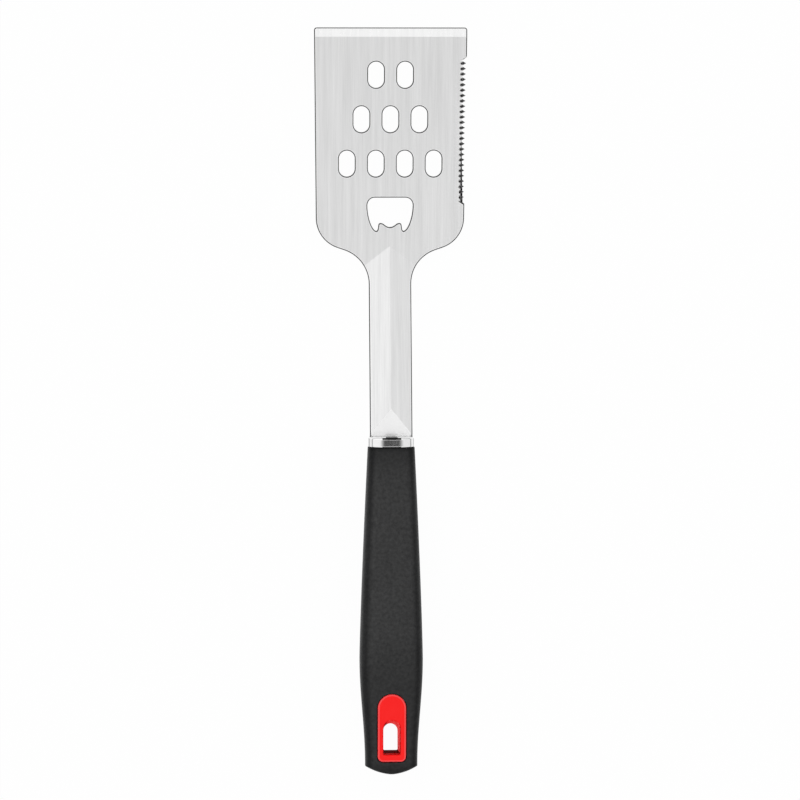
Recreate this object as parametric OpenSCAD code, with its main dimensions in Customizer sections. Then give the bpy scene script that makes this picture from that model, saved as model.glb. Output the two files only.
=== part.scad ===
// Grill spatula: one stamped blade and shank, a chrome ferrule, a two-shell grip and a
// two-piece hang eyelet. Millimetres, blade tip towards +Y, cooking side up (+Z). It lies on
// the back of the grip and the bend of the neck, which touch z = 0.

/* [Blade] */
// Thickness of the stamped sheet
sheet_t = 1.5; // [1.2:0.1:2]
// Length of the flat blade, from the neck fold to the front edge
blade_len = 132.3; // [118:0.1:150]
// Width of the blade at its front edge
blade_tip_w = 85.9; // [76:0.1:100]
// Width of the blade where its shoulders begin
blade_heel_w = 83.7; // [74:0.1:96]
// Radius of the front corners
tip_corner_r = 1.5; // [0.5:0.1:4]
// Length of the blade's shoulders, measured from the neck fold
shoulder_len = 25.1; // [23:0.1:30]
// Radius of the shoulders
shoulder_r = 17.8; // [14:0.1:20]
// Radius of the fillets between the shoulders and the shank
neck_r = 20.2; // [14:0.1:21]
// Slope of the shoulders where the two radii meet, in degrees
shoulder_slope = 19; // [10:1:24]
// Length of the ground front bevel
bevel_len = 5.2; // [3:0.1:9]
// Thickness left at the front edge
edge_t = 0.45; // [0.3:0.05:0.9]

/* [Drain slots] */
// Width of a slot
slot_w = 9; // [6:0.1:11]
// Length of a slot
slot_l = 14.8; // [12:0.1:18]
// Distance between the slots of a row
slot_pitch = 16.3; // [14:0.1:18]
// Distance between the rows
row_pitch = 25; // [21:0.1:27]
// Distance from the front edge to the first row
first_row = 26.5; // [20:0.1:30]
// Slots in the first row; each row behind it has one more
first_row_slots = 2; // [1:1:2]
// Number of rows
slot_rows = 3; // [1:1:3]

/* [Bottle opener] */
// Width of the opener
opener_w = 25.7; // [23:0.1:30]
// Height of the opener
opener_h = 19; // [17:0.1:22]
// Distance from the front edge to the opener's straight lip
opener_at = 95.7; // [92:0.1:97]
// Distance between the tips of the two horns that catch the cap
horn_span = 10.3; // [8:0.1:12]
// Distance between the bottoms of the two hooks
hook_span = 15.6; // [14.5:0.1:17]

/* [Serrated edge] */
// Distance from the front edge to the first tooth
serration_at = 17.1; // [10:0.1:22]
// Distance between teeth
tooth_pitch = 3.02; // [2.4:0.02:3.2]
// Number of teeth
teeth = 26; // [10:1:27]
// Depth of the gullets
tooth_depth = 2.3; // [1.2:0.1:3]
// How far the ground face leans in over the sheet's thickness
tooth_lean = 1.1; // [0.4:0.1:1.6]

/* [Shank] */
// Width of the shank
shank_w = 23.9; // [20:0.1:30]
// Length of the sloping shank, between its two folds
shank_len = 96.9; // [70:0.1:130]
// Height of the stamped ridge
ridge_h = 2.2; // [1.2:0.1:3.2]
// How steeply the shank falls from the grip, in degrees
shank_drop = 9.3; // [6:0.1:13]
// How much the blade lifts again from the grip's own line, in degrees
blade_lift = 4.7; // [3:0.1:7]
// Flat strip of the shank in front of the ferrule
tang_strip = 1.9; // [1:0.1:6]

/* [Tang and core] */
// Width of the tang inside the grip
tang_w = 15; // [12:0.1:18]
// Length of the tang behind the ferrule's mouth
tang_len = 110; // [80:1:125]
// Width of the core that carries the tang
core_w = 18.4; // [16:0.1:20]
// Thickness of the core
core_t = 9.6; // [8:0.1:11]
// Diameter of the rivets through core and tang
rivet_d = 4; // [3:0.1:5]
// Distance from the ferrule's mouth to the first rivet
rivet_at = 32; // [24:1:50]
// Distance between the rivets
rivet_pitch = 52; // [30:1:60]

/* [Ferrule] */
// Length of the ferrule
ferrule_len = 6; // [5:0.1:12]
// Width of the ferrule
ferrule_w = 25.6; // [25:0.1:32]
// Thickness of the ferrule
ferrule_h = 17; // [15:0.1:20]
// Wall of the ferrule
ferrule_wall = 0.7; // [0.5:0.05:0.7]
// Radius of the ferrule's front edge
ferrule_r = 1.4; // [0.6:0.1:2]

/* [Grip] */
// Length of the grip
grip_len = 185.4; // [170:0.1:210]
// Width of the grip at the ferrule
front_w = 26.4; // [26:0.1:32]
// Height of the grip's crowned front above its parting line, at the ferrule
front_crown = 8.8; // [8:0.1:11]
// Depth of the grip's back below its parting line, at the ferrule
front_belly = 8.8; // [8:0.1:11]
// Distance from the ferrule to the widest place
swell_at = 120; // [105:1:125]
// Width of the grip at its widest
swell_w = 35.8; // [33:0.1:42]
// Height of the crown at the widest place
swell_crown = 10.6; // [9:0.1:13]
// Depth of the back at the widest place
swell_belly = 12.4; // [10:0.1:15]
// Width of the grip at the butt
butt_w = 29.6; // [27:0.1:36]
// Height of the crown at the butt
butt_crown = 8.6; // [7:0.1:10]
// Depth of the back at the butt
butt_belly = 8.8; // [7:0.1:10]
// Radius of the rounded butt, seen from above
butt_r = 28; // [22:1:45]
// Rounding of the butt's upper and lower edges
butt_edge_r = 2.4; // [1:0.1:4]
// Squareness of the grip's cross-section
grip_power = 3; // [2.2:0.1:4]
// Width of the small moulding tab on the butt
tab_w = 4.9; // [3:0.1:8]
// How far the tab stands out
tab_len = 0.8; // [0.4:0.1:1.5]

/* [Hang eyelet] */
// Width of the eyelet
eyelet_w = 16; // [14:0.1:18]
// Length of the eyelet
eyelet_len = 38.8; // [34:0.1:42]
// Distance from the butt to the eyelet
eyelet_at = 7.4; // [5:0.1:9]
// Radius of the eyelet's two lower corners
eyelet_corner_r = 3; // [1.5:0.1:5]
// Width of the hang hole
hole_w = 9.7; // [7:0.1:11]
// Length of the hang hole at the front
hole_len = 19.8; // [16:0.1:22]
// How much shorter the hang hole is at the back
hole_rake = 4.7; // [2:0.1:7]
// Distance from the eyelet's lower end to the hole
hole_at = 4; // [3:0.1:6]
// Width of the slope round the hole's rim
rim_slope = 0.9; // [0.4:0.1:1.4]
// How much narrower the hang hole gets towards the back, on each side
hole_draft = 0.8; // [0.2:0.1:1.5]
// How far the eyelet's pads stand above the shells
pad_rise = 0.3; // [0.1:0.1:0.8]
// Size of the softened edge round the pads
pad_edge = 0.9; // [0.3:0.1:1.4]
// Height above the parting line where the eyelet's two halves meet
eyelet_seam = 2; // [0:0.1:4]

/* [Hidden] */
// Clearance between moulded pieces that fit into each other
fit = 0.15;
// Clearance between the steel sheet and what it slides into
sheet_fit = 0.2;
// A cutter's overlap past the face it cuts
over = 1;
// Half-depth of the groove along the parting line
parting = 0.3;
// Stations along the grip and points round half of its section
grip_steps = 44;
section_steps = 22;
// Sides of a curve that a hull joins
hull_fn = 32;
// How the grip's front flares towards the swell: 1 is a straight flare
flare_power = 1.25;
// Share of the length behind the swell over which the grip narrows again
heel_share = 0.93;
// Length of the last stretch of the grip, where its corners round off
butt_corner = 7;
// Distance between the core's end and the eyelet
core_gap = 3;
// Depth of the blocks under the sheet's upper face
deep = 60;
// Thickness of the leaves that a hull joins
leaf = 0.01;

half_t = sheet_t / 2;
half_shank = shank_w / 2;
// Fold between the flat tang strip and the sloping shank
fold_y = ferrule_len + tang_strip;
// Fold between the shank and the blade
neck_y = fold_y + shank_len * cos(shank_drop);
neck_z = half_t - shank_len * sin(shank_drop);
butt_y = -grip_len;
tip_y = neck_y + blade_len * cos(blade_lift);
// Inside of the ferrule
ferrule_in_w = ferrule_w - 2 * ferrule_wall;
ferrule_in_h = ferrule_h - 2 * ferrule_wall;
nose_len = ferrule_len - ferrule_wall - fit;
eyelet_y0 = butt_y + eyelet_at;
eyelet_y1 = eyelet_y0 + eyelet_len;
hole_y0 = eyelet_y0 + hole_at;
hole_y1 = hole_y0 + hole_len;
core_back = eyelet_y1 + core_gap;
rivet_r = rivet_d / 2;
// Where the grip's sides run straight again behind the swell
heel_at = swell_at + heel_share * (grip_len - swell_at);

// ---- the grip's form -----------------------------------------------------------------

// Blend from the ferrule's value to the swell's and on to the butt's, at distance d
function along(d, front, swell, butt) =
    d < swell_at
    ? swell - (swell - front) * pow(1 - d / swell_at, flare_power)
    : d < heel_at
    ? butt + (swell - butt) * (1 + cos(180 * (d - swell_at) / (heel_at - swell_at))) / 2
    : butt;

// Half-width of the rounded butt, seen from above
function butt_half(d) =
    let(inside = min(butt_r, grip_len - d))
    sqrt(pow(butt_r, 2) - pow(butt_r - inside, 2));
// Share of the height that the butt's rounded edges leave
function edge_share(d) =
    let(inside = min(butt_edge_r, grip_len - d))
    1 - (butt_edge_r - sqrt(pow(butt_edge_r, 2) - pow(butt_edge_r - inside, 2))) / butt_belly;

function grip_half(d) = min(along(d, front_w / 2, swell_w / 2, butt_w / 2), butt_half(d));
function crown(d) = along(d, front_crown, swell_crown, butt_crown) * edge_share(d);
function belly(d) = along(d, front_belly, swell_belly, butt_belly) * edge_share(d);

// Half of a squared oval, from its right side over the top to its left side
function half_oval(half_w, height, power = grip_power, steps = section_steps) = [
    for (i = [0 : steps])
        let(a = 180 * i / steps, c = cos(a), s = sin(a))
        [sign(c) * half_w * pow(abs(c), 2 / power), height * pow(abs(s), 2 / power)]
];

// Stations along the grip: evenly spaced, then closer round the butt's corners
last_d = grip_len - parting / 3;
corner_d = grip_len - butt_corner;
grip_stations = concat(
    [for (i = [0 : grip_steps - 13]) corner_d * i / (grip_steps - 12)],
    [for (i = [0 : 12]) corner_d + (last_d - corner_d) * (1 - pow(1 - i / 12, 2))]);

// Solid between successive sections; a section is a list of [x, z] and d its station
module loft(sections, stations) {
    n = len(sections[0]);
    last = len(stations) - 1;
    polyhedron(
        points = [for (k = [0 : last]) for (p = sections[k]) [p[0], -stations[k], p[1]]],
        faces = concat(
            [[for (i = [0 : n - 1]) i]],
            [[for (i = [n - 1 : -1 : 0]) last * n + i]],
            [for (k = [0 : last - 1]) for (i = [0 : n - 1])
                let(a = k * n + i, b = k * n + (i + 1) % n)
                each [[a, a + n, b], [b, a + n, b + n]]]));
}

// One half of the grip, up = 1 for the front and -1 for the back
function half_section(d, up) =
    let(w = grip_half(d), h = up > 0 ? crown(d) : belly(d))
    concat([[w - parting, 0]],
           [for (p = half_oval(w, h - parting)) [p[0], p[1] + parting]],
           [[parting - w, 0]]);

module grip_half_body(up) {
    mirror([0, 0, up > 0 ? 0 : 1])
        loft([for (d = grip_stations) half_section(d, up)], grip_stations);
}

// Half of the shells' common nose, which slips into the ferrule
module shell_nose(up) {
    half_w = ferrule_in_w / 2 - fit;
    half_h = ferrule_in_h / 2 - fit;
    mirror([0, 0, up > 0 ? 0 : 1])
        translate([0, nose_len, 0])
            rotate([90, 0, 0])
                linear_extrude(nose_len + over)
                    polygon(half_oval(half_w, half_h));
}

// ---- the blade -----------------------------------------------------------------------

// The plane of the blade, with its origin on the neck fold
module on_blade() {
    translate([0, neck_y, neck_z]) rotate([blade_lift, 0, 0]) children();
}

// Everything under the sheet's upper face, lowered by depth along each of its planes
module under_sheet(depth) {
    reach = blade_tip_w;
    roof_slope = ridge_h / half_shank;
    intersection() {
        translate([-reach, -grip_len, -deep])
            cube([2 * reach, 2 * grip_len, deep + half_t - depth]);
        translate([0, fold_y, half_t])
            rotate([-shank_drop, 0, 0])
                translate([0, tip_y, 0])
                    rotate([90, 0, 0])
                        linear_extrude(tip_y + grip_len)
                            polygon([[0, ridge_h - depth],
                                     [reach, ridge_h - depth - reach * roof_slope],
                                     [reach, -2 * deep], [-reach, -2 * deep],
                                     [-reach, ridge_h - depth - reach * roof_slope]]);
    }
    on_blade()
        translate([-reach, -shank_len / 2, -deep - depth])
            cube([2 * reach, shank_len / 2 + blade_len + over, deep]);
}

// Points of an arc
function arc(centre, r, a0, a1, steps = 14) = [
    for (i = [0 : steps])
        let(a = a0 + (a1 - a0) * i / steps)
        centre + r * [cos(a), sin(a)]
];

// Where the blade's straight side ends, and the centres of the shoulder's two radii
heel_y = neck_y + shoulder_len * cos(blade_lift);
half_tip = blade_tip_w / 2;
half_heel = blade_heel_w / 2;
shoulder_line = (half_heel - half_shank - (shoulder_r + neck_r) * (1 - sin(shoulder_slope)))
    / cos(shoulder_slope);
shoulder_c = [half_heel - shoulder_r, heel_y];
neck_c = shoulder_c
    + (shoulder_r + neck_r) * [sin(shoulder_slope), -cos(shoulder_slope)]
    + shoulder_line * [-cos(shoulder_slope), -sin(shoulder_slope)];
shank_end = ferrule_len - ferrule_wall;

// Right side of the stamping's outline, from the front edge to the end of the tang
outline_half = concat(
    arc([half_tip - tip_corner_r, tip_y - tip_corner_r], tip_corner_r, 90, 0, 6),
    arc(shoulder_c, shoulder_r, 0, shoulder_slope - 90),
    arc(neck_c, neck_r, 90 + shoulder_slope, 180),
    [[half_shank, shank_end], [tang_w / 2, shank_end], [tang_w / 2, ferrule_len - tang_len]]);

// Outline of the whole stamping, seen from above
module blade_outline() {
    n = len(outline_half);
    left = [for (i = [n - 1 : -1 : 0]) [-outline_half[i][0], outline_half[i][1]]];
    polygon(concat(outline_half, left));
}

// ---- how the tool lies ---------------------------------------------------------------
// It is drawn with the grip level and its mouth at y = 0, then set down on the two places
// that touch the table: the bend of the neck and the back of the grip.

// Height of the sheet's lower face
function under_z(x, y) =
    max(min(half_t - sheet_t,
            half_t - (y - fold_y) * tan(shank_drop)
                + (ridge_h * (1 - abs(x) / half_shank) - sheet_t) / cos(shank_drop)),
        neck_z + (y - neck_y) * tan(blade_lift) - sheet_t / cos(blade_lift));
function height(points, tilt) = min([for (p = points) p[0] * sin(tilt) + p[1] * cos(tilt)]);
// Tilt at which neck and grip are equally high, between a and b
function level(a, b, steps = 24) =
    let(mid = (a + b) / 2)
    steps == 0 ? mid
    : height(neck_low, mid) < height(grip_low, mid) ? level(mid, b, steps - 1)
    : level(a, mid, steps - 1);

// Points [y, z] on which the neck and the grip can touch the table
neck_low = [for (p = arc(neck_c, neck_r, 90 + shoulder_slope, 180, 70)) [p[1], under_z(p[0], p[1])]];
grip_low = [for (d = grip_stations) [-d, -belly(d)]];
rest_tilt = level(-10, 10);
rest_z = height(grip_low, rest_tilt);
tip_low = neck_z + blade_len * sin(blade_lift) - sheet_t / cos(blade_lift);
front_y = tip_y * cos(rest_tilt) - tip_low * sin(rest_tilt);
back_y = (butt_y - tab_len) * cos(rest_tilt) + parting * sin(rest_tilt);

// Sets the tool down with its middle over the origin
module at_rest() {
    translate([0, -(front_y + back_y) / 2, -rest_z]) rotate([rest_tilt, 0, 0]) children();
}

// A slot with round ends, along Y
module slot() {
    run = slot_l - slot_w;
    translate([-slot_w / 2, -run / 2]) square([slot_w, run]);
    for (end = [-1, 1]) translate([0, end * run / 2]) circle(slot_w / 2, $fn = 64);
}

// The rows of drain slots, in the blade's plane
module drain_slots() {
    for (row = [0 : slot_rows - 1]) {
        count = first_row_slots + row;
        for (i = [0 : count - 1])
            translate([(i - (count - 1) / 2) * slot_pitch,
                       blade_len - first_row - row * row_pitch])
                slot();
    }
}

// Points of a cubic curve, without its first point
function curve(p0, p1, p2, p3, steps = 10) = [
    for (i = [1 : steps])
        let(t = i / steps, u = 1 - t)
        u * u * u * p0 + 3 * u * u * t * p1 + 3 * u * t * t * p2 + t * t * t * p3
];

// Right half of the bottle opener, from the middle of its straight lip round to the dip
// between the horns; the lip is at y = 0
function opener_half() =
    let(half = opener_w / 2, h = opener_h, hook = hook_span / 2, horn = horn_span / 2,
        corner = 0.22 * h, horn_y = -0.765 * h, dip_y = -0.885 * h,
        lip = [half - corner, 0], side = [half, -1.05 * corner],
        low = [hook, -h], inner = [horn + 0.55 * (hook - horn), -0.86 * h],
        top = [horn, horn_y], dip = [0, dip_y])
    concat([[0, 0], lip],
           curve(lip, lip + [0.6 * corner, 0], side + [0, 0.55 * corner], side, 8),
           curve(side, side - [0, 0.36 * h], low + [0.3 * hook, 0.02 * h], low, 12),
           curve(low, low - [0.13 * hook, 0], inner - [-0.02 * half, 0.07 * h], inner, 8),
           curve(inner, inner + [-0.01 * half, 0.055 * h], top + [0.11 * half, 0], top, 8),
           curve(top, top - [0.14 * half, 0], dip + [0.2 * half, 0], dip, 8));

module opener() {
    right = opener_half();
    left = [for (i = [len(right) - 2 : -1 : 1]) [-right[i][0], right[i][1]]];
    translate([0, blade_len - opener_at]) polygon(concat(right, left));
}

// Ground teeth: what the wheel takes off the right edge, its faces leaning inwards
module serration() {
    // Half-width of the blade at distance y from the neck fold
    function edge_x(y) =
        (blade_heel_w + (blade_tip_w - blade_heel_w)
            * (y - shoulder_len) / (blade_len - shoulder_len)) / 2;
    // One outline of the ground zone, moved inwards by lean
    function profile(lean) =
        let(y1 = blade_len - serration_at, flat = 0.1 * tooth_pitch, point = 0.25,
            y_end = y1 - (teeth + 1) * tooth_pitch)
        concat(
            [[edge_x(y1) + over, y1 + 0.45 * tooth_pitch]],
            [for (i = [0 : teeth])
                let(y = y1 - i * tooth_pitch, x = edge_x(y) - lean)
                each [[x - tooth_depth, y - 0.5 * tooth_pitch + flat],
                      [x - tooth_depth, y - 0.5 * tooth_pitch - flat],
                      [i < teeth ? x - point : x + lean + over,
                       i < teeth ? y - tooth_pitch : y - 1.45 * tooth_pitch]]],
            [[blade_tip_w, y_end], [blade_tip_w, y1]]);
    low = profile(0);
    high = profile(tooth_lean);
    n = len(low);
    // The faces run on past both sides of the sheet at the same lean
    extra = sheet_fit;
    stretch = extra / sheet_t;
    polyhedron(
        points = concat(
            [for (i = [0 : n - 1]) let(p = low[i] - stretch * (high[i] - low[i]))
                [p[0], p[1], -sheet_t - extra]],
            [for (i = [0 : n - 1]) let(p = high[i] + stretch * (high[i] - low[i]))
                [p[0], p[1], extra]]),
        faces = concat(
            [[for (i = [0 : n - 1]) i]],
            [[for (i = [n - 1 : -1 : 0]) n + i]],
            [for (i = [0 : n - 1]) let(j = (i + 1) % n)
                each [[i, i + n, j], [j, i + n, j + n]]]));
}

// The wedge ground off the front edge
module front_bevel() {
    slope = atan((sheet_t - edge_t) / bevel_len);
    translate([-blade_tip_w, blade_len - bevel_len, 0])
        rotate([-slope, 0, 0])
            cube([2 * blade_tip_w, 2 * bevel_len, 2 * sheet_t]);
}

// Rivet places along the tang
module at_rivets() {
    for (i = [0, 1]) translate([0, ferrule_len - rivet_at - i * rivet_pitch, 0]) children();
}

module blade() {
    color("gainsboro")
        at_rest() difference() {
            intersection() {
                difference() {
                    under_sheet(0);
                    under_sheet(sheet_t);
                }
                translate([0, 0, -grip_len]) linear_extrude(2 * grip_len) blade_outline();
            }
            on_blade() {
                translate([0, 0, -2 * sheet_t])
                    linear_extrude(4 * sheet_t) {
                        drain_slots();
                        opener();
                    }
                serration();
                front_bevel();
            }
            at_rivets()
                cylinder(r = rivet_r + sheet_fit, h = 4 * sheet_t, center = true, $fn = 48);
        }
}

// ---- ferrule, core and rivets --------------------------------------------------------

// Closed squared oval in the XZ plane
function oval(half_w, half_h, steps = 2 * section_steps) =
    concat(half_oval(half_w, half_h, grip_power, steps),
           [for (i = [1 : steps - 1])
               let(a = 180 + 180 * i / steps, c = cos(a), s = sin(a))
               [sign(c) * half_w * pow(abs(c), 2 / grip_power),
                sign(s) * half_h * pow(abs(s), 2 / grip_power)]]);

module ferrule() {
    rounding = [for (a = [0 : 15 : 90]) a];
    // Station and inset of the rounded front edge, from the mouth back
    stations = concat([for (a = rounding) -ferrule_len + ferrule_r * (1 - cos(a))], [0]);
    insets = concat([for (a = rounding) ferrule_r * (1 - sin(a))], [0]);
    color("silver")
        at_rest() difference() {
            loft([for (i = [0 : len(stations) - 1])
                    oval(ferrule_w / 2 - insets[i], ferrule_h / 2 - insets[i])], stations);
            translate([0, ferrule_len - ferrule_wall, 0])
                rotate([90, 0, 0])
                    linear_extrude(ferrule_len + over)
                        polygon(oval(ferrule_in_w / 2, ferrule_in_h / 2));
            cube([shank_w + 2 * sheet_fit, 3 * ferrule_len, sheet_t + 2 * sheet_fit],
                 center = true);
        }
}

module handle_core() {
    slot_w_in = tang_w + 2 * sheet_fit;
    slot_t_in = sheet_t + 2 * sheet_fit;
    color("dimgray")
        at_rest() difference() {
            translate([-core_w / 2, core_back, -core_t / 2])
                cube([core_w, nose_len - core_back, core_t]);
            translate([-slot_w_in / 2, ferrule_len - tang_len - fit, -slot_t_in / 2])
                cube([slot_w_in, tang_len + over, slot_t_in]);
            at_rivets() cylinder(r = rivet_r + fit / 3, h = 2 * core_t, center = true, $fn = 48);
        }
}

module tang_rivets() {
    color("darkgray")
        at_rest() at_rivets() cylinder(r = rivet_r, h = core_t, center = true, $fn = 48);
}

// ---- shells and eyelet ---------------------------------------------------------------

// Outline of the eyelet, arched at the front and square with round corners at the butt
module eyelet_outline(grow = 0) {
    half = eyelet_w / 2 + grow;
    corner = eyelet_corner_r + grow;
    translate([0, eyelet_y1 - eyelet_w / 2]) circle(half, $fn = 64);
    translate([-half, eyelet_y0 + eyelet_corner_r])
        square([2 * half, eyelet_len - eyelet_w / 2 - eyelet_corner_r]);
    translate([corner - half, eyelet_y0 - grow]) square([2 * (half - corner), corner + over]);
    for (side = [-1, 1])
        translate([side * (half - corner), eyelet_y0 + eyelet_corner_r])
            circle(corner, $fn = 48);
}

// Outline of the hang hole: arched at the front, square at the butt
module hole_outline(grow = 0, short = 0, narrow = 0) {
    half = hole_w / 2 - narrow + grow;
    translate([0, hole_y1 - short - hole_w / 2 + narrow]) circle(half, $fn = hull_fn);
    translate([-half, hole_y0 - grow]) square([2 * half, 2 * grow + hole_w / 2]);
}

// The hang hole in one half: straight in front, raked and drafted at the back
module hang_hole(up) {
    if (up > 0)
        hull()
            for (z = [0, grip_len])
                translate([0, 0, z]) linear_extrude(over) hole_outline();
    if (up < 0)
        hull() {
            translate([0, 0, eyelet_seam]) linear_extrude(over) hole_outline();
            translate([0, 0, -2 * swell_belly])
                linear_extrude(over)
                    hole_outline(short = 2 * hole_rake, narrow = 2 * hole_draft);
        }
}

module shell(up) {
    difference() {
        union() {
            grip_half_body(up);
            shell_nose(up);
        }
        translate([-core_w / 2 - fit, core_back - fit, -core_t / 2 - fit])
            cube([core_w + 2 * fit, grip_len, core_t + 2 * fit]);
        translate([0, 0, -grip_len])
            linear_extrude(2 * grip_len) eyelet_outline(fit);
    }
}

module front_shell() {
    color("#333436") at_rest() shell(1);
}

module rear_shell() {
    color("#333436") at_rest() {
        shell(-1);
        translate([-tab_w / 2, butt_y - tab_len, -butt_belly / 2])
            cube([tab_w, tab_len + over, butt_belly / 2 - parting]);
    }
}

// The plane of one pad, which follows the slope of the shell round it
module on_pad(up) {
    d0 = grip_len - eyelet_at;
    d1 = d0 - eyelet_len;
    z0 = up > 0 ? crown(d0) : belly(d0);
    z1 = up > 0 ? crown(d1) : belly(d1);
    mirror([0, 0, up > 0 ? 0 : 1])
        translate([0, -d0, z0 + pad_rise]) rotate([atan((z1 - z0) / eyelet_len), 0, 0])
            translate([0, d0, 0]) children();
}

// One half of the eyelet: its pad, softened edge and the part that goes through the shell
module eyelet_half(up) {
    difference() {
        intersection() {
            on_pad(up)
                hull() {
                    translate([0, 0, -leaf]) linear_extrude(leaf) eyelet_outline(-pad_edge);
                    translate([0, 0, -0.3 * pad_edge])
                        linear_extrude(leaf) eyelet_outline(-0.3 * pad_edge);
                    translate([0, 0, -swell_crown - swell_belly])
                        linear_extrude(swell_crown + swell_belly - pad_edge) eyelet_outline();
                }
            mirror([0, 0, up > 0 ? 0 : 1])
                translate([-eyelet_w, butt_y, up * eyelet_seam])
                    cube([2 * eyelet_w, grip_len, grip_len]);
        }
        hang_hole(up);
        on_pad(up)
            hull() {
                translate([0, 0, -rim_slope])
                    linear_extrude(leaf) rim_outline(up, 0);
                translate([0, 0, over])
                    linear_extrude(leaf) rim_outline(up, rim_slope + over);
            }
    }
}

// The hole's outline at a pad, grown by the slope round its rim
module rim_outline(up, grow) {
    if (up > 0) hole_outline(grow);
    if (up < 0) hole_outline(grow, hole_rake, hole_draft);
}

module eyelet_front() {
    color("red") at_rest() eyelet_half(1);
}

module eyelet_rear() {
    color("red") at_rest() eyelet_half(-1);
}

blade();
ferrule();
handle_core();
tang_rivets();
front_shell();
rear_shell();
eyelet_front();
eyelet_rear();
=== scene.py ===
"""Looks of the grill spatula: finer meshes over the CAD solids, materials, light and camera."""
import math

import bmesh
import bpy
import numpy as np
from mathutils import Matrix, Vector


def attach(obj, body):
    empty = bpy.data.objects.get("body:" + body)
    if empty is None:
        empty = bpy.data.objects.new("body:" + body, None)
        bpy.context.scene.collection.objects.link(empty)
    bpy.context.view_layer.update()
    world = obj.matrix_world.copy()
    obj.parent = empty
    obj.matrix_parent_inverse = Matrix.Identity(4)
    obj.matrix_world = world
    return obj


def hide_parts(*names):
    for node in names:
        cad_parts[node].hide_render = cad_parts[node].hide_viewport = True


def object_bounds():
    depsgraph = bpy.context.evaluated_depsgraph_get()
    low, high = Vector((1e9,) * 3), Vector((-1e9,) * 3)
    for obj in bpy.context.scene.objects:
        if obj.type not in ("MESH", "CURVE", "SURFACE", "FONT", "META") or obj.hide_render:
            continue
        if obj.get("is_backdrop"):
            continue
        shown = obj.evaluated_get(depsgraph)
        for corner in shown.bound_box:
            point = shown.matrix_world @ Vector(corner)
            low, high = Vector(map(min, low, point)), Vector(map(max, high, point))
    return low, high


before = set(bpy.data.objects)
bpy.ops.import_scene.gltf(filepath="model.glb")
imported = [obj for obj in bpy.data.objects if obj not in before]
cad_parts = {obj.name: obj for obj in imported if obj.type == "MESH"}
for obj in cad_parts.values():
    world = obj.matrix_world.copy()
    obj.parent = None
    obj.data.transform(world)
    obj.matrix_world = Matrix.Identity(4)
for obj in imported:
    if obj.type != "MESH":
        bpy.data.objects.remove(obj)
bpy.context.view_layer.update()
MM = 0.001

# ---- sizes in millimetres, in the grip's own frame: mouth at y = 0, butt towards -y ----
NOSE_LEN = 5.15            # the core's front face lies this far in front of the mouth
END_NEAR = 0.25            # points of the core within this of an end belong to its face
FERRULE_LEN = 6.0
FERRULE_SIZE = (25.6, 17.0)
FERRULE_WALL = 0.7
FERRULE_ROUND = 1.4        # rounding of the edge at the front wall
FERRULE_STEPS = (5, 8)     # facets of the two roundings
FERRULE_RIM = (0.45, 0.6)  # rounding of the edge at the shells: inwards and along
FERRULE_BAND = (0.8, 0.2)  # the plain band starts and ends this far from its two edges
HOLLOW_BACK = -1.0         # the collar is hollow from past its open end
FERRULE_GAP = 0.25         # dark joint between the ferrule and the shells
FERRULE_FACE = (0.1, 0.5)  # the front wall starts and ends this far inside its rounding
MOUTH_SHADE = 2.4          # the front wall has painted shade this far above and below the sheet
MIDDLE_SHADE = (3.4, 5.4)  # half widths of its painted dark middle and of that of the rims
SHEET_SLOT = (24.3, 1.9)
SLOT_Y = (1.0, 8.0)
GRIP_LEN = 185.4
FRONT = (26.4, 8.8, 8.8)   # width, crown and belly at the mouth
SWELL = (35.8, 10.6, 12.4)
BUTT = (29.6, 8.6, 8.8)
SWELL_AT = 120.0
FLARE_POWER = 1.25         # how the grip widens from the mouth to the swell
HEEL_SHARE = 0.93          # and where it has narrowed again, on the way to the butt
HEEL_AT = SWELL_AT + HEEL_SHARE * (GRIP_LEN - SWELL_AT)
BUTT_ROUND = 28.0
BUTT_EDGE = 2.4
BUTT_CORNER = 7.0          # closer stations from here to the butt
BUTT_END = 0.1             # and the last one this far before its end
BODY_STEPS = 110
BUTT_STEPS = 22
MOUTH_ROUND = 0.35         # softened edge of the shells at the ferrule
GRIP_POWER = 3.0
PARTING = 0.3
CORE_SIZE = (18.7, 9.9)    # room for the core
CORE_ROOM = (2.0, 10.0)    # from this far in front of the eyelet to past the mouth
EYELET_Y = (-178.0, -139.2)
EYELET_HALF = 8.0
EYELET_CORNER = 3.0
EYELET_GAP = 0.42
REAR_GAP = 0.12            # narrower, so that no light comes through
POCKET_Z = (5.0, 30.0)     # the eyelet's pocket: past the parting and out of the shell
POCKET_EDGE = (0.02, 1.0)  # margins for finding the pocket's walls, across and along
UPRIGHT_Z = 0.3            # a face whose normal rises less than this is such a wall
EYELET_SEAM = 2.0
PAD_RISE = 0.3
PAD_EDGE = 0.9
PAD_LEDGE = 0.05           # flat ring beside each rounding of the pad
HOLE_Y = (-174.0, -154.2)
HOLE_HALF = 4.85
HOLE_CORNER = 0.7
HOLE_RAKE = 4.7
HOLE_DRAFT = 0.8
HOLE_SEAM = 0.12           # small bevel where the two halves of the hole meet
RIM_SLOPE = 0.9
ROUND_STEPS = 6            # facets of a rounding
TAB = (4.9, 0.8, 4.1)      # width, length and height of the moulding tab
TAB_ROOT = -1.0            # it starts inside the butt
TAB_ROUND = ((0.2, 0.0), (0.05, 0.06), (0.0, 0.2))   # distance to its end, and inset

# ---- camera, in the same frame -------------------------------------------------------
CAMERA_AIM = Vector((0, 26.51, 0))
CAMERA_FROM = Vector((-0.05, 0.08, 1))
CAMERA_FAR = 2200.0
VIEW_WIDTH = 450.4         # what the picture is wide at the aim
VIEW_SHIFT = 0.01105
SENSOR = 36.0
CLIP_END = 50.0            # metres

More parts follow.
